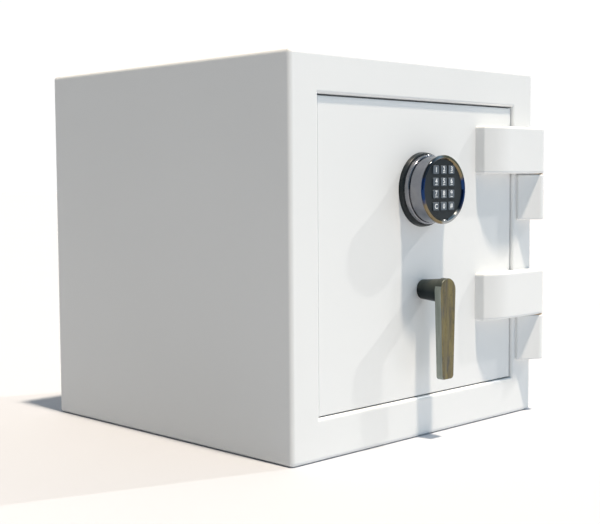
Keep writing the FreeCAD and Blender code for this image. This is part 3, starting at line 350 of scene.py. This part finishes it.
FINISHES = {made.name: made for made in (
    enamel("white_paint", (0.735, 0.757, 0.768), 0.29, 0.36, 420.0, 0.035 * MM),
    enamel("liner_paint", (0.52, 0.54, 0.55), 0.42, 0.55, 900.0, 0.10 * MM),
    make_concrete(),
    turned_metal("bright_steel", (0.56, 0.57, 0.58), 0.18, 0.30),
    mottled_metal("zinc_steel", (0.55, 0.56, 0.55), (0.62, 0.60, 0.50), 0.30, 0.45),
    mottled_metal("hard_steel", (0.045, 0.047, 0.05), (0.075, 0.07, 0.068), 0.38, 0.55),
    mottled_metal("cast_zinc", (0.50, 0.50, 0.48), (0.56, 0.56, 0.53), 0.42, 0.60, 140.0),
    mottled_metal("bronze", (0.46, 0.29, 0.13), (0.56, 0.38, 0.19), 0.34, 0.50, 200.0),
    make_aged_bronze(),
    make_chrome_with_painted_reflections(),
    make_black_nickel(),
    moulded("keypad_black", (0.008, 0.013, 0.016), 0.24, 0.38, specular=0.3),
    moulded("key_rubber", (0.078, 0.100, 0.126), 0.5, 0.64, 2400.0, specular=0.4),
    moulded("seal_strip", (0.012, 0.012, 0.012), 0.6, 0.8),
    make_ribbed_rubber(),
    moulded("circuit_board", (0.012, 0.10, 0.035), 0.3, 0.45),
    moulded("battery_case", (0.03, 0.03, 0.034), 0.25, 0.4),
    moulded("cable_rubber", (0.02, 0.02, 0.02), 0.5, 0.65),
    make_legend_ink(),
)}


def finish_cad_nodes():
    """Every carried-over piece takes the procedural material of its slot."""
    for part in frame["record"]["subparts"]:
        piece = frame["nodes"][part["node"]]
        piece.material_slots[0].material = FINISHES[part["material_slot"]].material


# ---------------------------------------------------------------- pieces

def mesh_from(built, name):
    """A mesh with its normals outward. The bmesh it comes from is freed."""
    bmesh.ops.recalc_face_normals(built, faces=built.faces)
    mesh = bpy.data.meshes.new(name)
    built.to_mesh(mesh)
    built.free()
    return mesh


def new_piece(name, mesh, finish_name, body):
    """A Blender piece with its finish, on a body and in a material slot."""
    piece = bpy.data.objects.new(name, mesh)
    scene.collection.objects.link(piece)
    mesh.materials.clear()
    mesh.materials.append(FINISHES[finish_name].material)
    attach(piece, body)
    return piece


def body_under(node_name):
    return body_of(frame["nodes"][node_name])[0]


def rounded_loop(corners):
    """A closed outline of (along, radius, rounding) corners, with its arcs and a point close by each arc."""
    points = []
    for spot, (along, radius, rounding) in enumerate(corners):
        corner = Vector((along, radius))
        if not rounding:
            points.append(corner)
            continue
        back = (Vector(corners[spot - 1][:2]) - corner).normalized()
        ahead = (Vector(corners[(spot + 1) % len(corners)][:2]) - corner).normalized()
        half = back.angle(ahead) / 2
        reach = rounding / math.tan(half)
        start, end = corner + back * reach, corner + ahead * reach
        middle = corner + (back + ahead).normalized() * (rounding / math.sin(half))
        points.append(start + back * ARC_GUARD)
        for step in range(ARC_STEPS + 1):
            ray = (start - middle).lerp(end - middle, step / ARC_STEPS)
            points.append(middle + ray.normalized() * rounding)
        points.append(end + ahead * ARC_GUARD)
    return points


def make_turned(node_name, slot, corners):
    """A ring turned round the keypad's axis that stands for a node. Corners run from rear to front."""
    middle = pad_middle()
    outline = rounded_loop(corners)
    built = bmesh.new()
    rows = []
    for count in range(RING_SEGMENTS):
        turn = 2 * math.pi * count / RING_SEGMENTS
        rows.append([built.verts.new((point.y * math.cos(turn), point.x, middle.z + point.y * math.sin(turn)))
                     for point in outline])
    for count, row in enumerate(rows):
        following = rows[(count + 1) % RING_SEGMENTS]
        for spot in range(len(outline)):
            after = (spot + 1) % len(outline)
            built.faces.new((row[spot], row[after], following[after], following[spot])).smooth = True
    mesh = mesh_from(built, node_name + "_turned")
    mesh.set_sharp_from_angle(angle=SHARP_ANGLE)
    piece = new_piece(node_name + "_turned", mesh, slot, body_under(node_name))
    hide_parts(node_name)


def ring_size(node_name):
    """Front, rear and outer radius of a keypad ring."""
    low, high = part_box(node_name)
    return low.y, high.y, (high.x - low.x) / 2


def make_keypad_rings():
    """The keypad's four rings with their polished rounded edges."""
    front, rear, radius = ring_size("keypad_base")
    taper = 1.2 * MM
    make_turned("keypad_base", "keypad_black", (
        (rear, RING_BORE, 0), (rear, radius, 0), (front, radius - taper, 1.5 * MM), (front, RING_BORE, 0)))

    front, rear, radius = ring_size("keypad_collar")
    taper = 0.4 * MM
    make_turned("keypad_collar", "black_nickel", (
        (rear, RING_BORE, 0), (rear, radius, 0), (front, radius - taper, 1.3 * MM), (front, RING_BORE, 0)))

    front, rear, radius = ring_size("keypad_housing")
    groove, neck = rear - 1.2 * MM, radius - 0.9 * MM
    make_turned("keypad_housing", "black_nickel", (
        (rear, RING_BORE, 0), (rear, neck, 0), (groove, neck, 0), (groove, radius, 0.4 * MM),
        (front, radius, 0), (front, RING_BORE, 0)))

    front, rear, radius = ring_size("keypad_bezel")
    lip, slope = 1.8 * MM, 2.4 * MM
    make_turned("keypad_bezel", "bright_chrome", (
        (rear, BEZEL_BORE, 0), (rear, radius, 0.5 * MM), (front, radius, 1.5 * MM),
        (front, BEZEL_BORE + lip, 0.7 * MM), (front + slope, BEZEL_BORE, 0)))


def islands(node_name):
    """Lowest and highest corner of every separate solid in a node."""
    built = bmesh.new()
    built.from_mesh(frame["nodes"][node_name].data)
    bmesh.ops.remove_doubles(built, verts=built.verts, dist=WELD_DISTANCE)
    left, found = set(built.verts), []
    while left:
        waiting, group = [left.pop()], []
        while waiting:
            vertex = waiting.pop()
            group.append(vertex.co.copy())
            for link in vertex.link_edges:
                other = link.other_vert(vertex)
                if other in left:
                    left.remove(other)
                    waiting.append(other)
        found.append((Vector([min(c[i] for c in group) for i in range(3)]),
                      Vector([max(c[i] for c in group) for i in range(3)])))
    built.free()
    return found


def cross_outline(half, reach):
    """The twelve corners of a cross, an arm at a time."""
    arm = [(half, half), (half, reach), (-half, reach)]
    outline = []
    for _ in range(4):
        outline += arm
        arm = [(-z, x) for x, z in arm]
    return outline


def make_painted_slot_shade():
    """A flat dark cross on the head of each screw on the door's inner side, standing just proud of it:
    painted shade in place of a driver recess.
    """
    for node_name in CROSSED_SCREWS:
        built = bmesh.new()
        for low, high in islands(node_name):
            middle = (low + high) / 2
            reach = min(high.x - low.x, high.z - low.z) * CROSS_REACH
            # Painted shade: a thin dark steel cross, not a recess cut into the head.
            face = built.faces.new([built.verts.new((middle.x + x, high.y - CROSS_SUNK, middle.z + z))
                                    for x, z in cross_outline(reach * CROSS_WIDTH, reach)])
            grown = bmesh.ops.extrude_face_region(built, geom=[face])["geom"]
            raised = [item for item in grown if isinstance(item, bmesh.types.BMVert)]
            bmesh.ops.translate(built, vec=(0, CROSS_SUNK + CROSS_PROUD, 0), verts=raised)
        mesh = mesh_from(built, node_name + "_slots")
        new_piece(node_name + "_slots", mesh, "hard_steel", body_under(node_name))


def printed_text(key):
    """The mark of one key as a mesh, lying flat."""
    curve = bpy.data.curves.new("legend_" + key, "FONT")
    curve.body = KEY_MARKS.get(key, key)
    curve.size = LEGEND_SIZE
    curve.align_x = "CENTER"
    curve.align_y = "CENTER"
    curve.extrude = LEGEND_HALF_DEPTH
    curve.offset = LEGEND_THICKENING
    text = bpy.data.objects.new("text_" + key, curve)
    scene.collection.objects.link(text)
    bpy.context.view_layer.update()
    mesh = bpy.data.meshes.new_from_object(text)
    bpy.data.objects.remove(text)
    return mesh


def make_legends():
    """The digits on the keys, and a short bar under those that carry small letters on such keypads."""
    for key in KEYS:
        low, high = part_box("key_" + key)
        middle = (low + high) / 2
        mesh = printed_text(key)
        built = bmesh.new()
        built.from_mesh(mesh)
        lift = 0.0 if key in KEYS_WITHOUT_BAR else LEGEND_LIFT
        across = [vertex.co.x for vertex in built.verts]
        up = [vertex.co.y for vertex in built.verts]
        centre = Vector(((min(across) + max(across)) / 2, (min(up) + max(up)) / 2, 0))
        bmesh.ops.translate(built, vec=Vector((0, lift, 0)) - centre, verts=built.verts)
        if lift:
            bar = bmesh.ops.create_cube(built, size=1.0)["verts"]
            bmesh.ops.scale(built, vec=BAR_SIZE, verts=bar)
            bmesh.ops.translate(built, vec=(0, -BAR_DROP, 0), verts=bar)
        upright = Matrix.Rotation(math.pi / 2, 3, "X")
        bmesh.ops.rotate(built, cent=(0, 0, 0), matrix=upright, verts=built.verts)
        bmesh.ops.translate(built, vec=(middle.x, low.y - LEGEND_PROUD, middle.z), verts=built.verts)
        built.to_mesh(mesh)
        built.free()
        mesh.name = "legend_" + key
        new_piece("legend_" + key, mesh, "legend_ink", "button_" + key)


# ---------------------------------------------------------------- studio

def make_floor():
    """A plain pale floor that reaches far past the view."""
    far = FLOOR_REACH
    mesh = bpy.data.meshes.new("floor")
    mesh.from_pydata([(-far, -far, 0), (far, -far, 0), (far, far, 0), (-far, far, 0)], [], [(0, 1, 2, 3)])
    floor = bpy.data.objects.new("floor", mesh)
    scene.collection.objects.link(floor)
    made = Finish("floor", (0.49, 0.515, 0.56), 0.75)
    made.gloss(made.noise(3.0, 3.0), 0.7, 0.8)
    mesh.materials.append(made.material)


def make_sun(name, travel, strength, spread, colour):
    """A distant lamp whose light goes the way of travel. Its spread is in degrees."""
    light = bpy.data.lights.new(name, "SUN")
    light.energy = strength
    light.angle = math.radians(spread)
    light.color = colour
    sun = bpy.data.objects.new(name, light)
    sun.rotation_mode = "QUATERNION"
    sun.rotation_quaternion = Vector(travel).to_track_quat("-Z", "Y")
    scene.collection.objects.link(sun)


def make_world():
    """A dim room, with a cool soft fill in front and a bright backdrop beyond the back right corner."""
    room = (0.05, 0.07, 0.085, 1)
    fill = ((0.51, -0.85, 0.12), -0.1, 0.8, (0.35, 0.51, 0.65, 1))
    backdrop = ((0.707, 0.707, 0.0), 0.2, 0.8, (1.03, 1.03, 1.03, 1))

    world = bpy.data.worlds.new("studio")
    world.use_nodes = True
    scene.world = world
    tree = world.node_tree
    place = tree.nodes.new("ShaderNodeTexCoord").outputs["Generated"]
    behind = None
    for direction, start, end, shade in (fill, backdrop):
        toward = tree.nodes.new("ShaderNodeVectorMath")
        toward.operation = "DOT_PRODUCT"
        toward.inputs[1].default_value = direction
        tree.links.new(place, toward.inputs[0])
        ranged = tree.nodes.new("ShaderNodeMapRange")
        ranged.interpolation_type = "SMOOTHSTEP"
        ranged.inputs["From Min"].default_value = start
        ranged.inputs["From Max"].default_value = end
        tree.links.new(toward.outputs["Value"], ranged.inputs["Value"])
        mix = tree.nodes.new("ShaderNodeMix")
        mix.data_type = "RGBA"
        tree.links.new(ranged.outputs[0], mix.inputs["Factor"])
        mix.inputs[MIX_FIRST].default_value = room
        mix.inputs[MIX_SECOND].default_value = shade
        if behind is not None:
            tree.links.new(behind, mix.inputs[MIX_FIRST])
        behind = mix.outputs[MIX_RESULT]
    tree.links.new(behind, tree.nodes["Background"].inputs["Color"])


def make_camera():
    """The camera, from its place, the way it looks and its roll."""
    level_part = math.cos(CAMERA_PITCH)
    ahead = Vector((math.sin(CAMERA_HEADING) * level_part, math.cos(CAMERA_HEADING) * level_part,
                    math.sin(CAMERA_PITCH)))
    level = ahead.cross(Vector((0, 0, 1))).normalized()
    right = level * math.cos(CAMERA_ROLL) + level.cross(ahead) * math.sin(CAMERA_ROLL)
    axes = Matrix((right, right.cross(ahead), -ahead)).transposed()
    data = bpy.data.cameras.new("camera")
    data.sensor_width = CAMERA_SENSOR
    data.lens = CAMERA_LENS
    camera = bpy.data.objects.new("camera", data)
    scene.collection.objects.link(camera)
    camera.matrix_world = Matrix.Translation(CAMERA_PLACE) @ axes.to_4x4()
    scene.camera = camera


make_camera()
finish_cad_nodes()
make_keypad_rings()
make_painted_slot_shade()
make_legends()
make_floor()
make_sun("overhead", (0.0, 1.0, -4.4), 5.4, 3.0, (0.97, 0.82, 0.66))
make_sun("right", (-2.9, 1.0, -2.5), 1.15, 1.2, (1.0, 0.95, 0.9))
make_world()
scene.view_settings.view_transform = "Standard"
